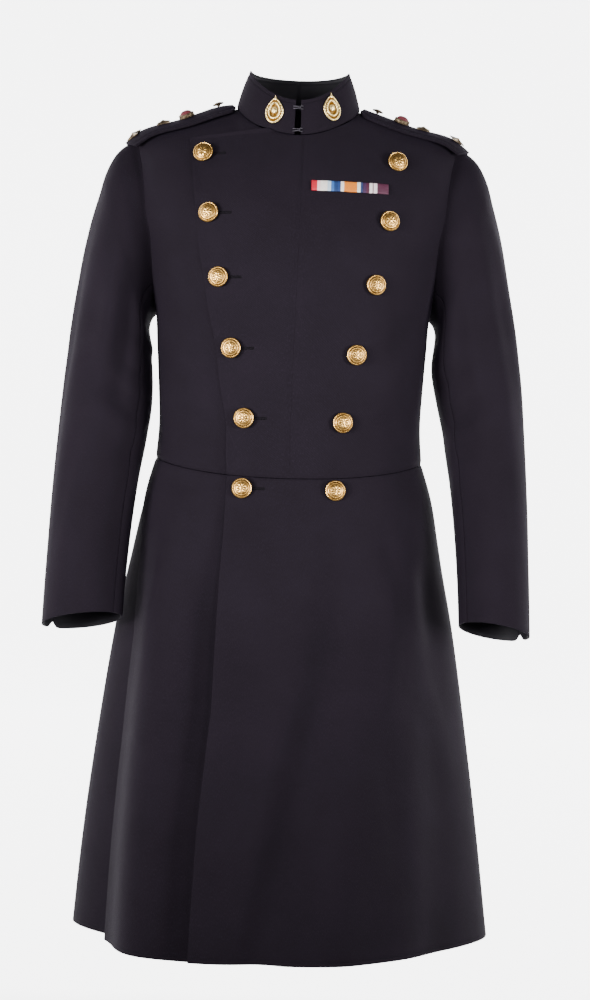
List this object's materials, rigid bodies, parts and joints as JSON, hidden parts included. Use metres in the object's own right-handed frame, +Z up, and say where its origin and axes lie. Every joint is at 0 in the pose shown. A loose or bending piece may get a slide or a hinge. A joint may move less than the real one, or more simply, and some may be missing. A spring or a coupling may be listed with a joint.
{
  "type": "double-breasted military frock coat",
  "caption": "Long dark navy wool double-breasted military frock coat with stand collar, brass buttons, shoulder straps and a ribbon bar, in its worn shape with nobody in it",
  "frame": {"origin": "middle of the neck opening, at the height of the collar seam", "axes": "+Z up along the coat, front faces -Y, +X is the wearer's left"},
  "size_m": [0.6076, 0.4468, 1.1003],
  "materials": {
    "navy_wool": "very dark navy fine wool, milled and brushed flat",
    "brass": "stamped and polished, slightly dulled in its recesses",
    "gilt": "bright gilding on brass",
    "red_velvet": "short red pile",
    "ribbon_red": "watered silk ribbon, red, cream and blue stripes",
    "ribbon_orange": "watered silk ribbon, orange with white, blue and claret edges",
    "ribbon_claret": "watered silk ribbon, claret with pale stripes",
    "plated_steel": "nickel-plated wire, a little dulled"
  },
  "bodies": {
    "root": {"back_left": "navy_wool", "back_right": "navy_wool", "button_left_1": "brass", "button_left_2": "brass", "button_left_3": "brass", "button_left_4": "brass", "button_left_5": "brass", "button_left_6": "brass", "button_right_1": "brass", "button_right_2": "brass", "button_right_3": "brass", "button_right_4": "brass", "button_right_5": "brass", "button_right_6": "brass", "collar_badge_left": "gilt", "collar_badge_right": "gilt", "collar_hook_1": "plated_steel", "collar_hook_2": "plated_steel", "collar_left": "navy_wool", "collar_right": "navy_wool", "cuff_button_left_1": "brass", "cuff_button_left_2": "brass", "cuff_button_right_1": "brass", "cuff_button_right_2": "brass", "forepart_left": "navy_wool", "forepart_right": "navy_wool", "lapel_left": "navy_wool", "ribbon_1": "ribbon_red", "ribbon_2": "ribbon_orange", "ribbon_3": "ribbon_claret", "shoulder_strap_left": "navy_wool", "shoulder_strap_right": "navy_wool", "sidebody_left": "navy_wool", "sidebody_right": "navy_wool", "skirt_back_left": "navy_wool", "skirt_back_right": "navy_wool", "skirt_front_left": "navy_wool", "skirt_front_right": "navy_wool", "sleeve_top_left": "navy_wool", "sleeve_top_right": "navy_wool", "sleeve_under_left": "navy_wool", "sleeve_under_right": "navy_wool", "strap_button_left": "brass", "strap_button_right": "brass", "strap_crown_left": "brass", "strap_crown_right": "brass", "strap_cushion_left": "red_velvet", "strap_cushion_right": "red_velvet", "strap_star_left_1": "brass", "strap_star_left_2": "brass", "strap_star_right_1": "brass", "strap_star_right_2": "brass"}
  },
  "joints": []
}
